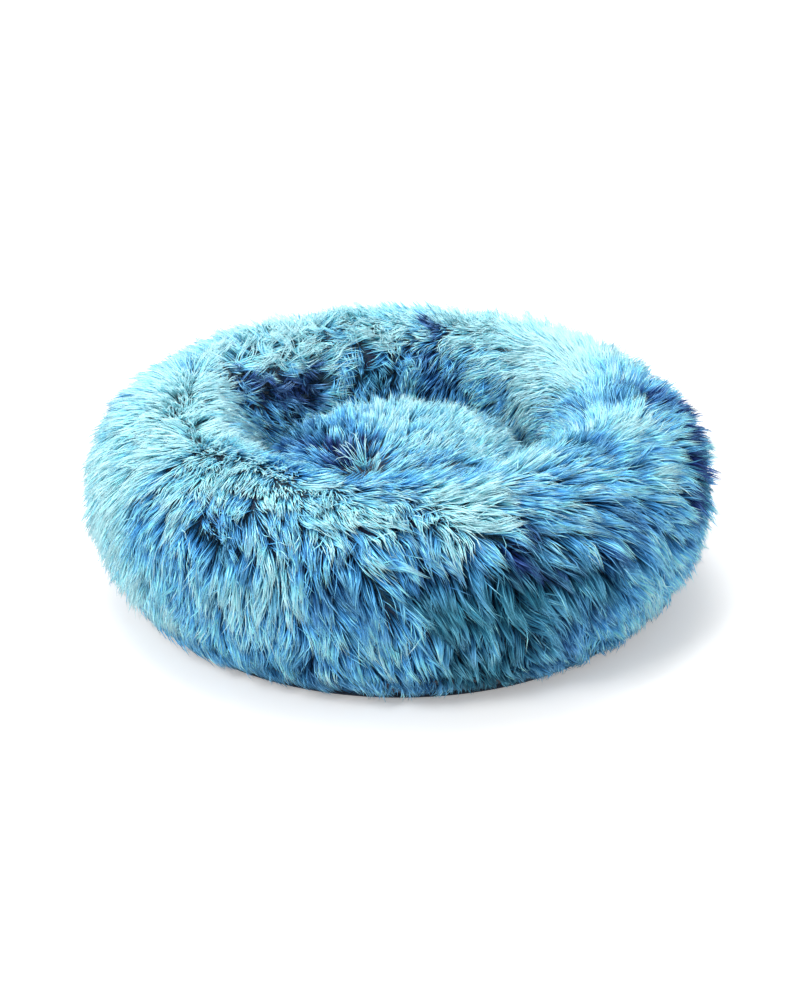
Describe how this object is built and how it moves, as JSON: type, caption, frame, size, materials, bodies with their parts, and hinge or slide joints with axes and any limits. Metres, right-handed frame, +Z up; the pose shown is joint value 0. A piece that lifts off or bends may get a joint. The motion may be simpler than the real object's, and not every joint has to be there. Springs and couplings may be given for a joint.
{
  "type": "pet bed",
  "caption": "Round plush pet bed: a fat shaggy faux-fur bolster ring round a domed loose cushion, on a flat cloth base with a curved zip low at the back.",
  "frame": {"origin": "centre of the base's underside, on the floor", "axes": "+Z up, -Y towards the front of the bed, the zip is on the +Y side"},
  "size_m": [0.5995, 0.5995, 0.206],
  "materials": {
    "fur_pile": "matte",
    "liner_cloth": "matte",
    "fibre": "matte",
    "base_cloth": "matte",
    "lining": "matte",
    "zip_tape": "matte",
    "zip_nylon": "satin",
    "zip_metal": "satin"
  },
  "bodies": {
    "cover": {"bolster_fur_panel_1": "fur_pile", "bolster_fur_panel_2": "fur_pile", "bolster_fur_panel_3": "fur_pile", "bolster_fur_panel_4": "fur_pile", "bolster_fur_panel_5": "fur_pile", "bolster_fur_panel_6": "fur_pile", "bolster_fur_panel_7": "fur_pile", "bolster_fur_panel_8": "fur_pile", "bolster_fur_panel_9": "fur_pile", "bolster_liner": "liner_cloth", "bolster_fill": "fibre", "base_cloth": "base_cloth", "base_border": "base_cloth", "front_facing": "base_cloth", "well_floor": "lining", "zip_tape_upper": "zip_tape", "zip_tape_lower": "zip_tape", "zip_coil_upper": "zip_nylon", "zip_coil_lower": "zip_nylon", "zip_stop_closed_end": "zip_metal", "zip_stop_open_end": "zip_metal"},
    "cushion": {"cushion_fur_top": "fur_pile", "cushion_underside": "base_cloth", "cushion_fill": "fibre"},
    "slider": {"zip_slider": "zip_metal"},
    "pull": {"zip_pull": "zip_metal"}
  },
  "joints": [
    {"name": "cushion_lift", "type": "slide", "parent": "cover", "child": "cushion", "axis": [0, 0, 1], "range_m": [0, 0.25]},
    {"name": "zip_slider_travel", "type": "hinge", "parent": "cover", "child": "slider", "pos_m": [0, 0, 0], "axis": [0, 0, 1], "range_deg": [0, 99.7]},
    {"name": "zip_pull_flip", "type": "hinge", "parent": "slider", "child": "pull", "pos_m": [0.19637, 0.1654, 0.01854], "axis": [-0.5233, -0.4408, -0.7293], "range_deg": [0, 175]}
  ]
}
